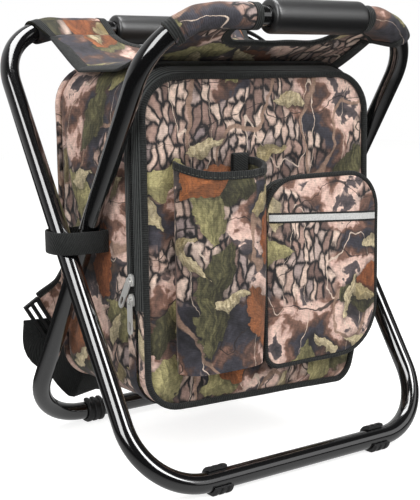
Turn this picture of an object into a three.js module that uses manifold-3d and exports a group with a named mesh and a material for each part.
// Folding cooler stool: two crossed tube loops, a cloth sling seat and a soft cooler bag hung between them.
// Millimetres, +Z up, +X to the right and -Y to the front. The origin is on the floor under the pivots.
import * as THREE from 'three';
import { mergeVertices } from 'three/addons/utils/BufferGeometryUtils.js';
import Module from 'manifold-3d';

const wasm = await Module();
wasm.setup();

// Clearance between pieces that touch
const GAP = 0.3;

// Cooler bag
const BAG_W = 260;
const BAG_H = 315;
const BAG_SWELL = 3;          // how far each side bows out
const BAG_BACK_Y = 82;
const LID_FRONT_Y = -75;
const LID_DEPTH = 18;         // front panel with the strip between its piping and the zip
const CORNER_TOP = 40;
const CORNER_LOW = 34;
const FRONT_FALL = 11.5;      // the top slopes down from behind the zip to the front panel's edge
const FALL_OVER = 120;        // height below the top over which that slope fades out
const KNEE_Z = 150;           // below this the filled bag sags out of square
const DRAWN_IN = 0.18;        // share of the half width by which its lower right corner is drawn in
const DRAWN_ROUND = 18;       // round of that corner
const LEFT_LIFT = 8;          // lower left corner above the lower right one
const BACK_ROUND = 14;
const LID_ROUND = 9;
const SHELL_T = 1.5;          // outer cloth
const FOAM_T = 4;             // insulation
const LINER_T = 1;            // wipe-clean film
const PIPING_D = 6;
const PIPING_SEAM = 0.5;      // where a piping's two ends meet

// Main zip
const ZIP_TAPE_W = 11;
const ZIP_TAPE_T = 1.2;
const ZIP_CHAIN_W = 2;
const ZIP_CHAIN_T = 2.4;
const ZIP_END_Z = 157;        // both ends of the zip stop here on the bag's sides
const SLIDER_LOW_RISE = 9;    // lower slider above the end of the zip
const SLIDER_PITCH = 18;      // from the lower slider to the upper one
const UPPER_PULL_TILT = 32;   // degrees; the upper pull leans back past the lower slider

// Zip slider and pull, shared by the main zip and the pocket zip
const SLIDER_L = 11;
const SLIDER_W = 8;
const SLIDER_T = 1.8;
const SLIDER_NOSE_R = 3.6;
const SLIDER_TAIL_R = 2;
const BRIDGE_W = 2;
const BRIDGE_POST = 1;
const BRIDGE_SPAN = 3.7;      // clear space under the bridge, along the zip
const BRIDGE_RISE = 2.2;
const BRIDGE_T = 0.8;
const PULL_L = 32;
const PULL_W = 7;
const PULL_T = 1.4;
const PULL_BAR = 1.3;         // cross bar that hangs in the bridge
const PULL_EYE_L = 3;
const PULL_EYE_SIDE = 1;
const PULL_SLOT_L = 9;
const PULL_SLOT_W = 3.4;
const PULL_AXIS_RISE = 1.2;   // cross bar above the slider's plate

// Frame
const TUBE_D = 18;
const BEND_R = 64;            // centre line of the loops' corners
const SIDE_ROOM = 8.5;        // from the bag's side seam to the inner loop's tube
const SPACER_T = 2.5;         // room between the two loops at a pivot
const BAR_Y = 128;            // bars in front of and behind the pivots
const BAR_TOP_Z = 410;
const BUTT_GAP = 0.4;         // the tube's two ends meet under the grip
const RIVET_D = 6;
const RIVET_CLEAR = 0.2;
const RIVET_HEAD_D = 12;
const RIVET_HEAD_T = 2;
const RIVET_CROWN_D = 8.4;
const RIVET_RIM_T = 1.6;
const RIVET_TAIL_D = 9;
const SPACER_D = 15;

// Feet
const FOOT_L = 23;
const FOOT_CLEAR = 0.6;       // the saddle clips loosely over the start of the bend
const FOOT_WALL = 1.8;
const FOOT_RIB = 1.6;         // ribs stand this far out of the saddle
const FOOT_RIB_W = 5;
const FOOT_RIBS = 3;
const FOOT_MOUTH = 100;       // degrees that the saddle leaves open
const FOOT_FLAT = 0.8;        // sole cut flat by this much
const FOOT_FROM_BEND = 10;    // foot's middle inside the start of the bend

// Grips
const GRIP_D = 30;
const GRIP_L = 106;
const GRIP_EDGE = 3;
const GRIP_SHIFT = 18;        // the grips sit off centre, towards +X

// Seat
const SEAT_DROP = 37;         // bag's top below the bars
const SLING_W = 256;
const SLING_T = 1.6;
const SLING_FLAT = 35;        // half of the part that lies on the bag
const SLING_SWEEP = 1.15;     // above 1 the slopes hang hollow
const SLING_EDGE_DROOP = 7;
const SLING_DROOP_FROM = 92;
const CUT_FROM_BAR = 50;      // depth of the cut-outs under the grips
const CUT_ROUND = 18;
const SLEEVE_T = 1.7;
const FRONT_SLEEVE_BEND = 4;  // bend steps that a sleeve covers past the straight bar
const REAR_SLEEVE_BEND = 2;
const SLEEVE_TAIL = 24;       // from the bar to the seam
const SLEEVE_TAIL_R = 2.2;
const SEAM_GAP = 0.7;         // from a sleeve's seam to the sling
const SLEEVE_TAIL_DIP = 18;   // degrees below level
const SLEEVE_TO_GRIP = [12, 2]; // left and right

// Bottle pocket
const BOTTLE_LEFT_X = -103;
const BOTTLE_W = 90;
const BOTTLE_LOW_Z = 99;
const BOTTLE_H = 189;
const BOTTLE_DEPTH = 40;
const BOTTLE_LOW_DEPTH = 30;
const BOTTLE_FULL_AT = 0.62;  // share of the height where the belly is full
const BOTTLE_DIP = 9;         // rim's middle below its ends
const BOTTLE_T = 2;
const BOTTLE_HEM_H = 7;
const BOTTLE_HEM_T = 3;
const BOTTLE_TAB_W = 16;
const BOTTLE_TAB_H = 18;
const BOTTLE_TAB_R = 3;
const BOTTLE_TAB_IN = 16;     // tab's middle left of the pocket's right end
const BOTTLE_TAB_RISE = 4;    // tab's top above the rim's ends

// Zip pocket
const POCKET_APART = 0.8;     // from the bottle pocket
const POCKET_SIDE = 7;        // from the pocket to the bag's right side
const POCKET_LOW_Z = 94;
const POCKET_H = 171;
const POCKET_DEPTH = 17;
const POCKET_ROUND = 34;
const POCKET_LEFT_ROUND = 14; // lower left corner
const POCKET_RIGHT_ROUND = 45; // lower right corner
const POCKET_WALL = 2;
const POCKET_FACE_T = 3.5;
const POCKET_PIPING_D = 4.4;
const STRIP_RISE = 127;       // reflective strip's lower right corner above the pocket's lower edge
const STRIP_H = 6;
const STRIP_SLANT = 8;        // its left end above its right one
const STRIP_T = 0.8;
const STRIP_INSET = 1;
const POCKET_SLIDER_UP = 7;   // slider's middle above the start of the pocket's straight side

// Webbing loops round the crossed legs
const LOOP_ABOVE = 14;
const LOOP_BELOW = 6;
const LOOP_T = 1.6;
const LOOP_TAB = 14;

// Shoulder straps. Their path gives the share of the bag's half width, the share of STRAP_BEHIND and the
// share of the bag's height below its top.
const STRAP_W = 52;
const STRAP_BEHIND = 49;      // how far they hang behind the bag's back
const STRAP_T = 9;
const STRAP_EDGE_T = 3;
const STRAP_TAPER = 0.16;     // share of the length that each end takes to thin out
const STRAP_PATH = [
  [0.45, 0.053, 0.06],
  [0.42, 0.25, 0.25],
  [0.43, 0.6, 0.44],
  [0.51, 1, 0.62],
  [0.7, 1, 0.745],
  [0.92, 1, 0.8],
];
const STRAP_STEPS = [12, 4];
const WEBBING_W = 38;
const WEBBING_T = 1.8;
const WEBBING_PATH = [[0.84, 0.97], [0.77, 0.755], [0.71, 0.49], [0.65, 0.2]]; // shares as above
const WEBBING_STEPS = 16;
const WEBBING_LEAD = 28;      // straight part below the middle of the ladder lock
const WEBBING_OVER_BAR = 30;  // its middle line above the low rear bar
const WEBBING_DIP = 0.55;     // height of its lowest point, as a share of the tab's
const LOCK_W = 46;
const LOCK_H = 18;
const LOCK_T = 4;
const LOCK_BAR = 3.2;
const ANCHOR_W = 44;
const ANCHOR_H = 26;
const ANCHOR_T = 2;
const ANCHOR_AT = 0.62;       // share of the bag's half width

// Facets
const TUBE_SIDES = 16;
const CORNER_STEPS = 4;
const EDGE_STEPS = 3;
const SMALL_STEPS = 2;
const BEND_STEPS = 8;
const SADDLE_STEPS = 8;
const BORE_STEPS = 12;
const RIB_STEPS = 4;
const GRIP_SIDES = 20;
const PIPING_SIDES = 6;
const SLEEVE_STEPS = 9;
const BELLY_STEPS = 12;
const SLING_STEPS = [14, 16];

// Worked-out sizes and places
const tubeR = TUBE_D / 2;
const footRibR = tubeR + FOOT_CLEAR + FOOT_WALL + FOOT_RIB;
const barLowZ = footRibR - FOOT_FLAT;
const pivotZ = (BAR_TOP_Z + barLowZ) / 2;
const legRise = BAR_TOP_Z - pivotZ;
const legReach = Math.hypot(BAR_Y, legRise);
const lean = Math.atan2(BAR_Y, legRise);
const bagHalf = BAG_W / 2;
const innerHalf = bagHalf + SIDE_ROOM + tubeR;
const outerHalf = innerHalf + TUBE_D + SPACER_T;
const bagTopZ = BAR_TOP_Z - SEAT_DROP;
const bagLowZ = bagTopZ - BAG_H;
const bagFrontY = LID_FRONT_Y + LID_DEPTH;
const foamInset = SHELL_T + GAP;
const linerInset = foamInset + FOAM_T + GAP;

const cloth = new THREE.MeshStandardMaterial({ color: 0x7a6154, roughness: 0.85, metalness: 0 });
const binding = new THREE.MeshStandardMaterial({ color: 0x2b2e2b, roughness: 0.8, metalness: 0 });
const webbing = new THREE.MeshStandardMaterial({ color: 0x1c1d1c, roughness: 0.75, metalness: 0 });
const foam = new THREE.MeshStandardMaterial({ color: 0x1b1b1b, roughness: 0.9, metalness: 0 });
const insulation = new THREE.MeshStandardMaterial({ color: 0xe8e6df, roughness: 0.9, metalness: 0 });
const film = new THREE.MeshStandardMaterial({ color: 0xc9ccce, roughness: 0.35, metalness: 0.2 });
const blackTube = new THREE.MeshStandardMaterial({ color: 0x0c0c0c, roughness: 0.2, metalness: 0.3 });
const blackPlastic = new THREE.MeshStandardMaterial({ color: 0x171717, roughness: 0.55, metalness: 0 });
const nickel = new THREE.MeshStandardMaterial({ color: 0xc4c6c6, roughness: 0.25, metalness: 1 });
const reflective = new THREE.MeshStandardMaterial({ color: 0xc8c8c8, roughness: 0.5, metalness: 0.1 });

const radians = (degrees) => (degrees * Math.PI) / 180;

// Points on an arc, both ends included
function arc(centreX, centreY, radius, from, to, steps) {
  const points = [];
  for (let i = 0; i <= steps; i += 1) {
    const turn = from + ((to - from) * i) / steps;
    points.push(new THREE.Vector2(centreX + radius * Math.cos(turn), centreY + radius * Math.sin(turn)));
  }
  return points;
}

function circle(radius, sides) {
  return arc(0, 0, radius, 0, 2 * Math.PI, sides).slice(0, sides);
}

// Outline of a rectangle with round corners, from its lower right corner round to its lower left one
function roundedRect(left, right, low, top, topRound, lowRound, steps = CORNER_STEPS, rightRound = lowRound) {
  const quarter = Math.PI / 2;
  return [
    ...arc(right - rightRound, low + rightRound, rightRound, -quarter, 0, steps),
    ...arc(right - topRound, top - topRound, topRound, 0, quarter, steps),
    ...arc(left + topRound, top - topRound, topRound, quarter, 2 * quarter, steps),
    ...arc(left + lowRound, low + lowRound, lowRound, 2 * quarter, 3 * quarter, steps),
  ];
}

function rectangle(left, right, low, top) {
  return [[left, low], [right, low], [right, top], [left, top]].map(([x, y]) => new THREE.Vector2(x, y));
}

function shapeOf(points, ...holes) {
  const shape = new THREE.Shape(points);
  shape.holes.push(...holes.map((hole) => new THREE.Path(hole)));
  return shape;
}

function prism(shape, depth) {
  return new THREE.ExtrudeGeometry(shape, { depth, bevelEnabled: false });
}

// Prisms on the three axes: the outline's own axes are (y, z), (x, z) and (x, y)
function alongX(shape, from, to) {
  const turn = new THREE.Matrix4().makeBasis(
    new THREE.Vector3(0, 1, 0),
    new THREE.Vector3(0, 0, 1),
    new THREE.Vector3(1, 0, 0),
  );
  return prism(shape, to - from).applyMatrix4(turn).translate(from, 0, 0);
}

function alongY(shape, from, to) {
  return prism(shape, to - from).rotateX(Math.PI / 2).translate(0, to, 0);
}

function alongZ(shape, from, to) {
  return prism(shape, to - from).translate(0, 0, from);
}

// A path through given points, with a section at each of them
class Route extends THREE.Curve {
  constructor(points) {
    super();
    this.points = points;
  }

  getPointAt(along) {
    const last = this.points.length - 1;
    const index = Math.min(Math.floor(along * last + 1e-6), last - 1);
    return this.points[index].clone().lerp(this.points[index + 1], along * last - index);
  }

  getTangentAt(along) {
    const last = this.points.length - 1;
    const index = Math.round(along * last);
    const before = this.points[Math.max(index - 1, 0)];
    const here = this.points[index];
    const after = this.points[Math.min(index + 1, last)];
    const arriving = here.clone().sub(before).normalize();
    const leaving = after.clone().sub(here).normalize();
    return arriving.add(leaving).normalize();
  }
}

function sweep(shape, points) {
  const extrudePath = new Route(points);
  return new THREE.ExtrudeGeometry(shape, { steps: points.length - 1, extrudePath, bevelEnabled: false });
}

// Closed mesh from vertices and triangles, with its faces turned outwards
function closedMesh(vertices, triangles) {
  const geometry = new THREE.BufferGeometry();
  let volume = 0;
  for (const [a, b, c] of triangles) {
    volume += vertices[a].dot(vertices[b].clone().cross(vertices[c]));
  }
  const faces = volume < 0 ? triangles.map(([a, b, c]) => [a, c, b]) : triangles;
  const positions = vertices.flatMap((vertex) => vertex.toArray());
  geometry.setAttribute('position', new THREE.Float32BufferAttribute(positions, 3));
  geometry.setIndex(faces.flat());
  return geometry;
}

// Skin over a row of rings with equal counts of points, closed by a flat cap at each end
function loft(rings) {
  const count = rings[0].length;
  const triangles = [];
  for (let r = 0; r + 1 < rings.length; r += 1) {
    for (let i = 0; i < count; i += 1) {
      const next = (i + 1) % count;
      const [a, b] = [r * count + i, r * count + next];
      triangles.push([a, b, b + count], [a, b + count, a + count]);
    }
  }
  const last = (rings.length - 1) * count;
  for (let i = 1; i + 1 < count; i += 1) {
    triangles.push([0, i + 1, i], [last, last + i, last + i + 1]);
  }
  return closedMesh(rings.flat(), triangles);
}

// Cloth or padding of a given thickness on both sides of a surface, with u and v from 0 to 1
function sheet(surface, uSteps, vSteps, thickness) {
  const step = 1e-3;
  const faces = [[], []];
  for (let i = 0; i <= uSteps; i += 1) {
    for (let j = 0; j <= vSteps; j += 1) {
      const [u, v] = [i / uSteps, j / vSteps];
      const alongU = surface(u + step, v).sub(surface(u - step, v));
      const alongV = surface(u, v + step).sub(surface(u, v - step));
      const out = alongU.cross(alongV).normalize().multiplyScalar(thickness(u, v) / 2);
      faces[0].push(surface(u, v).add(out));
      faces[1].push(surface(u, v).sub(out));
    }
  }
  const row = vSteps + 1;
  const other = faces[0].length;
  const triangles = [];
  const quad = (a, b, c, d) => triangles.push([a, b, c], [a, c, d]);
  for (let i = 0; i < uSteps; i += 1) {
    for (let j = 0; j < vSteps; j += 1) {
      const at = i * row + j;
      quad(at, at + row, at + row + 1, at + 1);
      quad(other + at, other + at + 1, other + at + row + 1, other + at + row);
    }
  }
  for (let i = 0; i < uSteps; i += 1) {
    const [low, high] = [i * row, i * row + vSteps];
    quad(low, other + low, other + low + row, low + row);
    quad(high, high + row, other + high + row, other + high);
  }
  for (let j = 0; j < vSteps; j += 1) {
    const [near, far] = [j, uSteps * row + j];
    quad(near, near + 1, other + near + 1, other + near);
    quad(far, other + far, other + far + 1, far + 1);
  }
  return closedMesh(faces.flat(), triangles);
}

// Booleans
function toSolid(geometry) {
  const bare = geometry.clone();
  bare.deleteAttribute('normal');
  bare.deleteAttribute('uv');
  const merged = mergeVertices(bare);
  return new wasm.Manifold(new wasm.Mesh({
    numProp: 3,
    vertProperties: new Float32Array(merged.attributes.position.array),
    triVerts: new Uint32Array(merged.index.array),
  }));
}

function fromSolid(solid) {
  const mesh = solid.getMesh();
  const geometry = new THREE.BufferGeometry();
  geometry.setAttribute('position', new THREE.Float32BufferAttribute(mesh.vertProperties, 3));
  geometry.setIndex(Array.from(mesh.triVerts));
  return geometry;
}

function cut(geometry, ...tools) {
  return fromSolid(tools.reduce((solid, tool) => solid.subtract(toSolid(tool)), toSolid(geometry)));
}

function join(geometry, ...others) {
  return fromSolid(others.reduce((solid, other) => solid.add(toSolid(other)), toSolid(geometry)));
}

function place(parent, name, geometry, material) {
  const mesh = new THREE.Mesh(geometry, material);
  mesh.name = name;
  parent.add(mesh);
  return mesh;
}

function groupAt(parent, x, y, z) {
  const group = new THREE.Group();
  group.position.set(x, y, z);
  parent.add(group);
  return group;
}

const stool = new THREE.Group();

// Centre line of a tube loop in its own upright plane, from the middle of the top bar round to it again
function loopRoute(half) {
  const x = half - BEND_R;
  const z = legReach - BEND_R;
  const quarter = Math.PI / 2;
  const flat = [
    new THREE.Vector2(BUTT_GAP / 2, legReach),
    ...arc(x, z, BEND_R, quarter, 0, BEND_STEPS),
    ...arc(x, -z, BEND_R, 0, -quarter, BEND_STEPS),
    ...arc(-x, -z, BEND_R, -quarter, -2 * quarter, BEND_STEPS),
    ...arc(-x, z, BEND_R, 2 * quarter, quarter, BEND_STEPS),
    new THREE.Vector2(-BUTT_GAP / 2, legReach),
  ];
  return flat.map((point) => new THREE.Vector3(point.x, 0, point.y));
}

function rodAlongX(diameter, sides, from, to) {
  return alongX(shapeOf(circle(diameter / 2, sides)), from, to);
}

function frameLoop(group, name, half) {
  const tube = sweep(shapeOf(circle(tubeR, TUBE_SIDES)), loopRoute(half));
  const drill = rodAlongX(RIVET_D + 2 * RIVET_CLEAR, TUBE_SIDES, -half - TUBE_D, half + TUBE_D);
  place(group, name, cut(tube, drill), blackTube);
}

// Each pivot is a rivet through both legs, with a spacer between them
function pivot(group, side, sign) {
  const tail = innerHalf - tubeR - GAP;
  const head = outerHalf + tubeR + GAP;
  const profile = [
    [0, tail - RIVET_HEAD_T],
    [RIVET_TAIL_D / 2, tail - RIVET_HEAD_T],
    [RIVET_TAIL_D / 2, tail],
    [RIVET_D / 2, tail],
    [RIVET_D / 2, head],
    [RIVET_HEAD_D / 2, head],
    [RIVET_CROWN_D / 2, head + RIVET_RIM_T],
    [0, head + RIVET_HEAD_T],
  ].map(([radius, along]) => new THREE.Vector2(radius, along));
  const rivet = new THREE.LatheGeometry(profile, TUBE_SIDES).rotateZ((-sign * Math.PI) / 2);
  place(group, `pivot_rivet_${side}`, rivet, nickel);

  const hole = circle(RIVET_D / 2 + RIVET_CLEAR, TUBE_SIDES);
  const washer = shapeOf(circle(SPACER_D / 2, TUBE_SIDES), hole);
  const inside = innerHalf + tubeR + GAP;
  const outside = outerHalf - tubeR - GAP;
  const [from, to] = sign > 0 ? [inside, outside] : [-outside, -inside];
  place(group, `pivot_spacer_${side}`, alongX(washer, from, to), blackPlastic);
}

// Ribbed saddle clipped on a bottom bar, open on the side that faces up and away from the stool
function foot(group, name, mouth) {
  const half = radians(FOOT_MOUTH / 2);
  const [from, to] = [mouth + half, mouth + 2 * Math.PI - half];
  const bore = arc(0, 0, tubeR + FOOT_CLEAR, to, from, BORE_STEPS);
  const sole = 1.5 * Math.PI;
  const flat = Math.acos(barLowZ / footRibR);
  const wall = [...arc(0, 0, footRibR - FOOT_RIB, from, to, SADDLE_STEPS), ...bore];
  const rib = [
    ...arc(0, 0, footRibR, from, sole - flat, RIB_STEPS),
    ...arc(0, 0, footRibR, sole + flat, to, RIB_STEPS),
    ...bore,
  ];
  const pitch = (FOOT_L - FOOT_RIB_W) / (FOOT_RIBS - 1);
  const ribs = [];
  for (let i = 0; i < FOOT_RIBS; i += 1) {
    const start = -FOOT_L / 2 + i * pitch;
    ribs.push(alongX(shapeOf(rib), start, start + FOOT_RIB_W));
  }
  place(group, name, join(alongX(shapeOf(wall), -FOOT_L / 2, FOOT_L / 2), ...ribs), blackPlastic);
}

// Foam sleeve on a top bar
function grip(group, name) {
  const [bore, skin, half] = [tubeR + GAP, GRIP_D / 2, GRIP_L / 2];
  const profile = [
    [bore, -half],
    [skin - GRIP_EDGE, -half],
    [skin, GRIP_EDGE - half],
    [skin, half - GRIP_EDGE],
    [skin - GRIP_EDGE, half],
    [bore, half],
    [bore, -half],
  ].map(([radius, along]) => new THREE.Vector2(radius, along));
  const sleeve = new THREE.LatheGeometry(profile, GRIP_SIDES).rotateZ(-Math.PI / 2);
  place(group, name, sleeve, foam).position.set(GRIP_SHIFT, 0, legReach);
}

// Cloth tunnel round a top bar, drawn to the seam where the sling is sewn on.
// The path runs outwards from the grip, so the section's first axis points down the leg; its second points to
// the loop's back on the right and to its front on the left.
function seatSleeve(group, name, half, innerX, bendSteps, facing) {
  const side = Math.sign(innerX);
  const quarter = Math.PI / 2;
  const bend = arc(half - BEND_R, legReach - BEND_R, BEND_R, quarter, 0, BEND_STEPS).slice(0, bendSteps + 1);
  const bar = [new THREE.Vector2(Math.abs(innerX), legReach), ...bend];
  const route = bar.map((point) => new THREE.Vector3(side * point.x, 0, point.y));
  const tail = lean + radians(SLEEVE_TAIL_DIP);
  const skin = tubeR + GAP + SLEEVE_T;
  const wrap = Math.acos((skin - SLEEVE_TAIL_R) / SLEEVE_TAIL);
  const away = Math.PI / 2 - tail;
  const tip = [Math.cos(away) * SLEEVE_TAIL, Math.sin(away) * SLEEVE_TAIL];
  const outline = [
    ...arc(0, 0, skin, away + wrap, away + 2 * Math.PI - wrap, SLEEVE_STEPS),
    ...arc(tip[0], tip[1], SLEEVE_TAIL_R, away - wrap, away + wrap, EDGE_STEPS),
  ];
  const mirrored = (points) => points.map((p) => new THREE.Vector2(p.x, side * facing * p.y));
  const bore = circle(tubeR + GAP, TUBE_SIDES);
  place(group, name, sweep(shapeOf(mirrored(outline), bore), route), cloth);
}

const gripLeft = GRIP_SHIFT - GRIP_L / 2;
const gripRight = GRIP_SHIFT + GRIP_L / 2;
const sleeveLeftEnd = gripLeft - SLEEVE_TO_GRIP[0];
const sleeveRightStart = gripRight + SLEEVE_TO_GRIP[1];

// The outer loop leans back and carries the front feet; the inner one leans forward
const outerLoop = groupAt(stool, 0, 0, pivotZ);
outerLoop.rotation.x = -lean;
frameLoop(outerLoop, 'outer_frame_tube', outerHalf);
pivot(outerLoop, 'left', -1);
pivot(outerLoop, 'right', 1);
grip(outerLoop, 'rear_grip');
seatSleeve(outerLoop, 'rear_left_sleeve', outerHalf, sleeveLeftEnd, REAR_SLEEVE_BEND, -1);
seatSleeve(outerLoop, 'rear_right_sleeve', outerHalf, sleeveRightStart, REAR_SLEEVE_BEND, -1);

const innerLoop = groupAt(stool, 0, 0, pivotZ);
innerLoop.rotation.x = lean;
frameLoop(innerLoop, 'inner_frame_tube', innerHalf);
grip(innerLoop, 'front_grip');
seatSleeve(innerLoop, 'front_left_sleeve', innerHalf, sleeveLeftEnd, FRONT_SLEEVE_BEND, 1);
seatSleeve(innerLoop, 'front_right_sleeve', innerHalf, sleeveRightStart, FRONT_SLEEVE_BEND, 1);

const frontFootX = outerHalf - BEND_R - FOOT_FROM_BEND;
const rearFootX = innerHalf - BEND_R - FOOT_FROM_BEND;
for (const [side, sign] of [['left', -1], ['right', 1]]) {
  foot(groupAt(stool, sign * frontFootX, -BAR_Y, barLowZ), `front_foot_${side}`, Math.PI - lean);
  foot(groupAt(stool, sign * rearFootX, BAR_Y, barLowZ), `rear_foot_${side}`, lean);
}

// Sling: flat on the bag, rising to the seams behind both bars, with a cut-out under each grip
const slingLowZ = bagTopZ + GAP + SLING_T / 2;
const tailIn = SLEEVE_TAIL * Math.sin(lean + radians(SLEEVE_TAIL_DIP));
const tailOut = SLEEVE_TAIL * Math.cos(lean + radians(SLEEVE_TAIL_DIP));

// Where a sleeve's seam runs: straight behind the bar, then down and in with the bend
function seamOf(half, bendSteps) {
  const reach = BEND_R - tailIn;
  const most = (bendSteps / BEND_STEPS) * (Math.PI / 2);
  const bendX = half - BEND_R;
  return {
    halfWidth: bendX + reach * Math.sin(most),
    at(x) {
      const turn = Math.asin(Math.min(Math.sin(most), Math.max(0, Math.abs(x) - bendX) / reach));
      const along = legReach - BEND_R + reach * Math.cos(turn);
      return {
        y: along * Math.sin(lean) - tailOut * Math.cos(lean) - SLEEVE_TAIL_R - SEAM_GAP,
        z: pivotZ + along * Math.cos(lean) + tailOut * Math.sin(lean),
      };
    },
  };
}

const frontSeam = seamOf(innerHalf, FRONT_SLEEVE_BEND);
const rearSeam = seamOf(outerHalf, REAR_SLEEVE_BEND);

function slingPoint(u, v) {
  const [seam, sign] = v < 0.5 ? [frontSeam, -1] : [rearSeam, 1];
  const out = Math.abs(2 * v - 1);
  const barY = seam.at(0).y;
  const rise = Math.max(0, out * barY - SLING_FLAT) / (barY - SLING_FLAT);
  const half = SLING_W / 2 + (seam.halfWidth - SLING_W / 2) * rise;
  const x = (2 * u - 1) * half;
  const past = Math.max(0, Math.abs(x) - SLING_DROOP_FROM) / (half - SLING_DROOP_FROM);
  const droop = SLING_EDGE_DROOP * past * past * (1 - rise);
  const edge = seam.at(x);
  const z = slingLowZ + (edge.z - slingLowZ) * Math.pow(rise, SLING_SWEEP) - droop;
  return new THREE.Vector3(x, sign * out * edge.y, z);
}

function gripCut(lowY, topY) {
  const outline = roundedRect(sleeveLeftEnd, sleeveRightStart, lowY, topY, CUT_ROUND, CUT_ROUND);
  return alongZ(shapeOf(outline), slingLowZ - SLING_EDGE_DROOP, BAR_TOP_Z);
}

const cutDepthY = BAR_Y - CUT_FROM_BAR;
const slingCloth = sheet(slingPoint, ...SLING_STEPS, () => SLING_T);
const rearCut = gripCut(cutDepthY, BAR_Y);
const frontCut = gripCut(-BAR_Y, -cutDepthY);
place(stool, 'seat_sling', cut(slingCloth, rearCut, frontCut), cloth);

// A filled bag isn't square: its top slopes down to the front panel, and it sags and is drawn in below
const share = (part, whole) => Math.min(1, Math.max(0, part / whole));

function settled(x, y, z) {
  const ahead = share(bagFrontY + ZIP_TAPE_W - y, ZIP_TAPE_W + LID_DEPTH);
  const up = share(z - bagTopZ + FALL_OVER, FALL_OVER);
  const below = share(KNEE_Z - z, KNEE_Z - bagLowZ);
  const inward = x > 0 ? DRAWN_IN * below : 0;
  const lift = LEFT_LIFT * share(bagHalf - x, BAG_W) * below;
  return new THREE.Vector3(x * (1 - inward), y, z - FRONT_FALL * ahead * up + lift);
}

function settle(geometry) {
  const corner = new THREE.Vector3();
  const places = geometry.attributes.position;
  for (let i = 0; i < places.count; i += 1) {
    corner.fromBufferAttribute(places, i);
    places.setXYZ(i, ...settled(corner.x, corner.y, corner.z).toArray());
  }
  return geometry;
}

// Bag: outer cloth, insulation and liner are nested tubs, open to the front
function bagRing(y, shrink, swell) {
  const half = bagHalf + swell - shrink;
  const outline = roundedRect(
    -half,
    half,
    bagLowZ + shrink,
    bagTopZ - shrink,
    CORNER_TOP - shrink,
    CORNER_LOW - shrink,
    CORNER_STEPS,
    DRAWN_ROUND - shrink,
  );
  outline.splice(CORNER_STEPS + 1, 0, new THREE.Vector2(half, KNEE_Z));
  return outline.map((point) => settled(point.x, y, point.y));
}

function bagForm(inset, ...fronts) {
  const round = BACK_ROUND - inset;
  const roundY = BAG_BACK_Y - BACK_ROUND;
  const collarY = bagFrontY + ZIP_TAPE_W;
  const rings = [...fronts, collarY].map((y) => bagRing(y, inset, 0));
  rings.push(bagRing((collarY + roundY) / 2, inset, BAG_SWELL));
  for (let i = 0; i <= EDGE_STEPS; i += 1) {
    const turn = (i / EDGE_STEPS) * (Math.PI / 2);
    rings.push(bagRing(roundY + round * Math.sin(turn), inset + round * (1 - Math.cos(turn)), 0));
  }
  return loft(rings);
}

function bagLayer(name, inset, thickness, material) {
  const hollow = bagForm(inset + thickness, bagFrontY - LID_DEPTH, bagFrontY);
  place(stool, name, cut(bagForm(inset, bagFrontY), hollow), material);
}

bagLayer('bag_shell', 0, SHELL_T, cloth);
bagLayer('bag_insulation', foamInset, FOAM_T, insulation);
bagLayer('bag_liner', linerInset, LINER_T, film);

// Front panel: the same three layers, as a shallow tray that closes the tub
const lid = groupAt(stool, 0, 0, 0);
const lidRimY = bagFrontY - GAP;

function lidForm(inset, ...rims) {
  const round = LID_ROUND - inset;
  const roundY = LID_FRONT_Y + LID_ROUND;
  const rings = rims.map((y) => bagRing(y, inset, 0));
  for (let i = 0; i <= EDGE_STEPS; i += 1) {
    const turn = (i / EDGE_STEPS) * (Math.PI / 2);
    rings.push(bagRing(roundY - round * Math.sin(turn), inset + round * (1 - Math.cos(turn)), 0));
  }
  return loft(rings);
}

function lidLayer(name, inset, thickness, material) {
  const hollow = lidForm(inset + thickness, lidRimY + ZIP_CHAIN_W, lidRimY);
  place(lid, name, cut(lidForm(inset, lidRimY), hollow), material);
}

lidLayer('front_panel_shell', 0, SHELL_T, cloth);
lidLayer('front_panel_insulation', foamInset, FOAM_T, insulation);
lidLayer('front_panel_liner', linerInset, LINER_T, film);

// Piping along a round edge: its middle lies on the edge's diagonal
function pipingLoop(outline, y, diameter) {
  const [first, last] = [outline[0], outline[outline.length - 1]];
  const middle = first.clone().add(last).multiplyScalar(0.5);
  const points = [
    new THREE.Vector2(middle.x + PIPING_SEAM / 2, middle.y),
    ...outline,
    new THREE.Vector2(middle.x - PIPING_SEAM / 2, middle.y),
  ];
  const route = points.map((point) => new THREE.Vector3(point.x, y, point.y));
  return sweep(shapeOf(circle(diameter / 2, PIPING_SIDES)), route);
}

function edgePiping(group, name, edgeY, edgeRound, outward) {
  const stand = (edgeRound + GAP + PIPING_D / 2) * Math.SQRT1_2;
  const y = edgeY - outward * (edgeRound - stand);
  const ring = bagRing(y, edgeRound - stand, 0);
  const outline = ring.map((point) => new THREE.Vector2(point.x, point.z));
  place(group, name, pipingLoop(outline, y, PIPING_D), binding);
}

edgePiping(lid, 'front_piping', LID_FRONT_Y, LID_ROUND, -1);
edgePiping(stool, 'back_piping', BAG_BACK_Y, BACK_ROUND, 1);

// Main zip: a tape with its chain on each side of the gap, up one side of the bag, over and down the other
function zipBand(rise, thickness) {
  const line = (off) => {
    const [half, top, round] = [bagHalf + off, bagTopZ + off, CORNER_TOP + off];
    return [
      new THREE.Vector2(half, ZIP_END_Z),
      ...arc(half - round, top - round, round, 0, Math.PI / 2, CORNER_STEPS),
      ...arc(round - half, top - round, round, Math.PI / 2, Math.PI, CORNER_STEPS),
      new THREE.Vector2(-half, ZIP_END_Z),
    ];
  };
  return shapeOf([...line(rise + thickness), ...line(rise).reverse()]);
}

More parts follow.
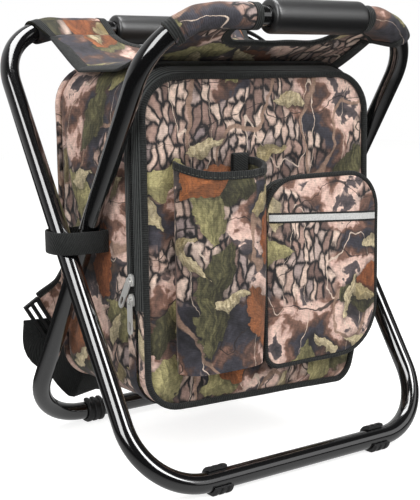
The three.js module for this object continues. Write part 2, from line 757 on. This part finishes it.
const tapeBand = zipBand(GAP, ZIP_TAPE_T);
const chainBand = zipBand(GAP, ZIP_CHAIN_T);
const bagTape = settle(alongY(tapeBand, bagFrontY, bagFrontY + ZIP_TAPE_W - GAP));
const bagChain = settle(alongY(chainBand, bagFrontY, bagFrontY + ZIP_CHAIN_W));
place(stool, 'zip_tape_bag', join(bagTape, bagChain), webbing);
const lidTape = settle(alongY(tapeBand, lidRimY - ZIP_TAPE_W + ZIP_CHAIN_W, lidRimY));
const lidChain = settle(alongY(chainBand, lidRimY - ZIP_CHAIN_W, lidRimY));
place(lid, 'zip_tape_front', join(lidTape, lidChain), webbing);

// Slider and pull, in a frame of their own: +X out of the cloth, +Z along the zip
function zipSlider(group, name, tilt) {
  const plate = roundedRect(
    -SLIDER_W / 2,
    SLIDER_W / 2,
    -SLIDER_L / 2,
    SLIDER_L / 2,
    SLIDER_NOSE_R,
    SLIDER_TAIL_R,
    SMALL_STEPS,
  );
  const legOut = BRIDGE_SPAN / 2 + BRIDGE_POST;
  const crown = SLIDER_T + BRIDGE_RISE + BRIDGE_T;
  const bridge = [
    new THREE.Vector2(SLIDER_T - BRIDGE_T, -legOut),
    new THREE.Vector2(crown - BRIDGE_T, -legOut),
    new THREE.Vector2(crown, -legOut + BRIDGE_POST),
    new THREE.Vector2(crown, legOut - BRIDGE_POST),
    new THREE.Vector2(crown - BRIDGE_T, legOut),
    new THREE.Vector2(SLIDER_T - BRIDGE_T, legOut),
    new THREE.Vector2(SLIDER_T - BRIDGE_T, BRIDGE_SPAN / 2),
    new THREE.Vector2(SLIDER_T + BRIDGE_RISE, BRIDGE_SPAN / 2),
    new THREE.Vector2(SLIDER_T + BRIDGE_RISE, -BRIDGE_SPAN / 2),
    new THREE.Vector2(SLIDER_T - BRIDGE_T, -BRIDGE_SPAN / 2),
  ];
  const body = join(
    alongX(shapeOf(plate), 0, SLIDER_T),
    alongY(shapeOf(bridge), -BRIDGE_W / 2, BRIDGE_W / 2),
  );
  place(group, name, body, nickel);

  const half = PULL_W / 2;
  const top = PULL_BAR / 2;
  const eye = half - PULL_EYE_SIDE;
  const slotLow = top - PULL_L + PULL_SLOT_W;
  const outline = roundedRect(-half, half, top - PULL_L, top, PULL_EYE_SIDE, half, SMALL_STEPS);
  const eyeHole = rectangle(-eye, eye, -top - PULL_EYE_L, -top);
  const slot = roundedRect(
    -PULL_SLOT_W / 2,
    PULL_SLOT_W / 2,
    slotLow,
    slotLow + PULL_SLOT_L,
    PULL_SLOT_W / 2,
    PULL_SLOT_W / 2,
    SMALL_STEPS,
  );
  const pull = alongX(shapeOf(outline, eyeHole, slot), -PULL_T / 2, PULL_T / 2);
  const mesh = place(group, `${name}_pull`, pull, nickel);
  mesh.position.x = SLIDER_T + PULL_AXIS_RISE;
  mesh.rotation.x = -radians(tilt);
}

const sliderX = bagHalf + GAP + ZIP_CHAIN_T + GAP;
const sliderY = bagFrontY - GAP / 2;
const lowerSlider = groupAt(stool, -sliderX, sliderY, ZIP_END_Z + SLIDER_LOW_RISE);
const upperSlider = groupAt(stool, -sliderX, sliderY, ZIP_END_Z + SLIDER_LOW_RISE + SLIDER_PITCH);
lowerSlider.rotation.z = Math.PI;
upperSlider.rotation.z = Math.PI;
zipSlider(lowerSlider, 'lower_slider', 0);
zipSlider(upperSlider, 'upper_slider', UPPER_PULL_TILT);

// Bottle pocket: a bellied wall sewn to the front panel, with a floor and a bound rim
const pocketBackY = LID_FRONT_Y - GAP;
const bottleMidX = BOTTLE_LEFT_X + BOTTLE_W / 2;
const bottleTopZ = BOTTLE_LOW_Z + BOTTLE_H;

function bottleWall(lowZ, topZ, inset) {
  return (u, v) => {
    const turn = Math.PI * u;
    const swell = Math.sin((Math.PI / 2) * Math.min(1, v / BOTTLE_FULL_AT));
    const depth = BOTTLE_LOW_DEPTH + (BOTTLE_DEPTH - BOTTLE_LOW_DEPTH) * swell - inset;
    const rim = lowZ + (topZ(turn) - lowZ) * v;
    const half = BOTTLE_W / 2 - inset;
    return new THREE.Vector3(bottleMidX - half * Math.cos(turn), pocketBackY - depth * Math.sin(turn), rim);
  };
}

const rimZ = (turn) => bottleTopZ - BOTTLE_DIP * Math.sin(turn);
const hemZ = (turn) => rimZ(turn) - BOTTLE_HEM_H;
const wallSkin = bottleWall(BOTTLE_LOW_Z, (turn) => hemZ(turn) - GAP, BOTTLE_T / 2);
const behindPanel = alongZ(
  shapeOf(rectangle(BOTTLE_LEFT_X - BOTTLE_T, BOTTLE_LEFT_X + BOTTLE_W + BOTTLE_T, pocketBackY, 0)),
  bagLowZ,
  bagTopZ,
);
const floorHalf = BOTTLE_W / 2 - BOTTLE_T / 2;
const floorOutline = arc(0, 0, 1, Math.PI, 2 * Math.PI, BELLY_STEPS).map((point) => new THREE.Vector2(
  bottleMidX + point.x * floorHalf,
  pocketBackY + point.y * (BOTTLE_LOW_DEPTH - BOTTLE_T / 2),
));
const pocketFloor = alongZ(shapeOf(floorOutline), BOTTLE_LOW_Z, BOTTLE_LOW_Z + BOTTLE_T);
const pocketWall = sheet(wallSkin, BELLY_STEPS, CORNER_STEPS, () => BOTTLE_T);
place(lid, 'bottle_pocket', cut(join(pocketWall, pocketFloor), behindPanel), cloth);
const hemSkin = (u, v) => {
  const turn = Math.PI * u;
  const half = BOTTLE_W / 2 - BOTTLE_T / 2;
  const depth = BOTTLE_DEPTH - BOTTLE_T / 2;
  return new THREE.Vector3(
    bottleMidX - half * Math.cos(turn),
    pocketBackY - depth * Math.sin(turn),
    hemZ(turn) + BOTTLE_HEM_H * v,
  );
};
const hem = sheet(hemSkin, BELLY_STEPS, 1, () => BOTTLE_HEM_T);
place(lid, 'bottle_pocket_hem', cut(hem, behindPanel), binding);

// Folded webbing tab sewn to the panel above the bottle pocket
const tabPlace = [
  BOTTLE_LEFT_X + BOTTLE_W - BOTTLE_TAB_IN,
  pocketBackY - BOTTLE_TAB_R,
  bottleTopZ + BOTTLE_TAB_RISE - BOTTLE_TAB_H,
];
const tabOutline = (inset) => [
  ...arc(0, BOTTLE_TAB_H - BOTTLE_TAB_R, BOTTLE_TAB_R - inset, 0, Math.PI, CORNER_STEPS),
  new THREE.Vector2(inset - BOTTLE_TAB_R, inset),
  new THREE.Vector2(BOTTLE_TAB_R - inset, inset),
];
const tab = alongX(shapeOf(tabOutline(0), tabOutline(LOOP_T)), -BOTTLE_TAB_W / 2, BOTTLE_TAB_W / 2);
place(lid, 'bottle_pocket_tab', tab, webbing).position.set(...tabPlace);

// Zip pocket: a gusset sewn to the panel and a front that the zip lets swing down
const pocketLeftX = BOTTLE_LEFT_X + BOTTLE_W + POCKET_APART;
const pocketRightX = bagHalf - POCKET_SIDE;
const pocketTopZ = POCKET_LOW_Z + POCKET_H;
const gussetFrontY = pocketBackY - POCKET_DEPTH;
const pocketOutline = (inset) => roundedRect(
  pocketLeftX + inset,
  pocketRightX - inset,
  POCKET_LOW_Z + inset,
  pocketTopZ - inset,
  POCKET_ROUND - inset,
  POCKET_LEFT_ROUND - inset,
  CORNER_STEPS,
  POCKET_RIGHT_ROUND - inset,
);
const gusset = alongY(shapeOf(pocketOutline(0), pocketOutline(POCKET_WALL)), gussetFrontY, pocketBackY);
place(lid, 'zip_pocket_gusset', gusset, webbing);

const pocketFlap = groupAt(lid, 0, 0, 0);
const faceBackY = gussetFrontY - GAP;
const faceFrontY = faceBackY - POCKET_FACE_T;
place(pocketFlap, 'zip_pocket_front', alongY(shapeOf(pocketOutline(0)), faceFrontY, faceBackY), cloth);
const pocketPipingOut = GAP + POCKET_PIPING_D / 2;
const pocketPipingY = faceFrontY + POCKET_FACE_T / 2;
const pocketPiping = pipingLoop(pocketOutline(-pocketPipingOut), pocketPipingY, POCKET_PIPING_D);
place(pocketFlap, 'zip_pocket_piping', pocketPiping, binding);
const stripLowZ = POCKET_LOW_Z + STRIP_RISE;
const [stripLeftX, stripRightX] = [pocketLeftX + STRIP_INSET, pocketRightX - STRIP_INSET];
const strip = rectangle(stripLeftX, stripRightX, stripLowZ, stripLowZ + STRIP_H);
strip[0].y += STRIP_SLANT;
strip[3].y += STRIP_SLANT;
const stripBackY = faceFrontY - GAP;
place(pocketFlap, 'reflective_strip', alongY(shapeOf(strip), stripBackY - STRIP_T, stripBackY), reflective);

const pocketSlider = groupAt(
  lid,
  pocketRightX + GAP,
  (gussetFrontY + pocketBackY) / 2,
  POCKET_LOW_Z + POCKET_RIGHT_ROUND + POCKET_SLIDER_UP,
);
zipSlider(pocketSlider, 'pocket_slider', 0);

// Webbing loop on each side, sewn to the bag and passed round both legs above the pivot
function crossingLoop(name, sign) {
  const skew = tubeR / Math.cos(lean);
  const far = skew + LOOP_ABOVE * Math.tan(lean) + GAP + LOOP_T / 2;
  const near = skew + LOOP_BELOW * Math.tan(lean) + GAP + LOOP_T / 2;
  const bagX = bagHalf + BAG_SWELL + GAP + LOOP_T / 2;
  const headX = outerHalf + tubeR + GAP + RIVET_HEAD_T + GAP + LOOP_T / 2;
  const route = [
    [bagX, -far + LOOP_TAB],
    [bagX, -far + LOOP_T],
    [innerHalf - tubeR, -far - LOOP_T],
    [innerHalf + tubeR, -far],
    [outerHalf + tubeR / 2, -near - LOOP_T],
    [headX, -near / 2],
    [headX, far / 2],
    [outerHalf + tubeR / 2, far + LOOP_T],
    [outerHalf - tubeR, far],
    [innerHalf - tubeR, near + LOOP_T],
    [bagX, near],
    [bagX, near + LOOP_TAB],
  ].map(([x, y]) => new THREE.Vector3(sign * x, y, pivotZ + (LOOP_ABOVE - LOOP_BELOW) / 2));
  const height = LOOP_ABOVE + LOOP_BELOW;
  const section = shapeOf(rectangle(-height / 2, height / 2, -LOOP_T / 2, LOOP_T / 2));
  place(stool, name, sweep(section, route), webbing);
}

crossingLoop('left_crossing_loop', -1);
crossingLoop('right_crossing_loop', 1);

// Shoulder straps: padded cloth sewn to the top of the back and hanging off it, a ladder lock at the end of
// each, and a webbing that swings below the bag and back up to a tab on its foot
const strapSeatY = BAG_BACK_Y + GAP;

function behindBag([share, behind], sign, z) {
  return new THREE.Vector3(sign * share * bagHalf, strapSeatY + behind * STRAP_BEHIND, z);
}

// A band that follows a line and stays as level across as the line allows
function band(points, width) {
  const line = new THREE.CatmullRomCurve3(points);
  const clamp = (u) => Math.min(1, Math.max(0, u));
  const across = (u) => {
    const along = line.getTangentAt(clamp(u));
    return new THREE.Vector3(1, 0, 0).addScaledVector(along, -along.x).normalize();
  };
  const surface = (u, v) => line.getPointAt(clamp(u)).addScaledVector(across(u), (v - 0.5) * width);
  return { line, across, surface };
}

function ladderLock() {
  const bars = LOCK_H - LOCK_BAR;
  const slots = [bars / 4, -bars / 4].map((middle) => {
    const half = (bars / 2 - LOCK_BAR) / 2;
    return rectangle(LOCK_BAR - LOCK_W / 2, LOCK_W / 2 - LOCK_BAR, middle - half, middle + half);
  });
  const outline = rectangle(-LOCK_W / 2, LOCK_W / 2, -LOCK_H / 2, LOCK_H / 2);
  return alongY(shapeOf(outline, ...slots), -LOCK_T / 2, LOCK_T / 2);
}

function shoulderStrap(side, sign) {
  const strap = band(STRAP_PATH.map((stop) => behindBag(stop, sign, bagTopZ - stop[2] * BAG_H)), STRAP_W);
  const padding = (u, v) => {
    const crown = (1 - (2 * v - 1) ** 2) * Math.min(1, u / STRAP_TAPER, (1 - u) / STRAP_TAPER);
    return STRAP_EDGE_T + (STRAP_T - STRAP_EDGE_T) * crown;
  };
  place(stool, `${side}_shoulder_strap`, sheet(strap.surface, ...STRAP_STEPS, padding), cloth);

  const end = strap.line.getPointAt(1);
  const down = strap.line.getTangentAt(1);
  const up = down.clone().negate();
  const across = strap.across(1);
  const turn = new THREE.Matrix4().makeBasis(across, up.clone().cross(across), up);
  const lock = place(stool, `${side}_ladder_lock`, ladderLock(), blackPlastic);
  lock.quaternion.setFromRotationMatrix(turn);
  lock.position.copy(end).addScaledVector(down, LOCK_H / 2 + GAP);

  const tabTopZ = bagLowZ + LEFT_LIFT + CORNER_LOW;
  const tabLowZ = tabTopZ - ANCHOR_H;
  const tabX = sign * ANCHOR_AT * bagHalf;
  const overTabY = strapSeatY + ANCHOR_T + GAP + WEBBING_T / 2;
  const behindLock = lock.position.clone();
  behindLock.y += LOCK_T / 2 + GAP + WEBBING_T / 2;
  const lead = behindLock.clone();
  lead.z -= WEBBING_LEAD;
  const overBarZ = barLowZ + tubeR + WEBBING_OVER_BAR;
  const lowZ = WEBBING_DIP * tabLowZ;
  const heights = [(lead.z + overBarZ) / 2, overBarZ, lowZ, (lowZ + tabLowZ) / 2];
  const tail = band([
    behindLock,
    lead,
    ...WEBBING_PATH.map((stop, i) => behindBag(stop, sign, heights[i])),
    new THREE.Vector3(tabX, overTabY + WEBBING_T, tabLowZ),
    new THREE.Vector3(tabX, overTabY, (tabLowZ + tabTopZ) / 2),
  ], WEBBING_W);
  place(stool, `${side}_strap_webbing`, sheet(tail.surface, WEBBING_STEPS, 1, () => WEBBING_T), webbing);

  const anchor = [
    new THREE.Vector2(tabX - ANCHOR_W / 2, tabLowZ),
    new THREE.Vector2(tabX + ANCHOR_W / 2, tabLowZ),
    new THREE.Vector2(tabX + ANCHOR_W / 4, tabTopZ),
    new THREE.Vector2(tabX - ANCHOR_W / 4, tabTopZ),
  ];
  place(stool, `${side}_strap_tab`, alongY(shapeOf(anchor), strapSeatY, strapSeatY + ANCHOR_T), webbing);
}

shoulderStrap('left', -1);
shoulderStrap('right', 1);

export default stool;
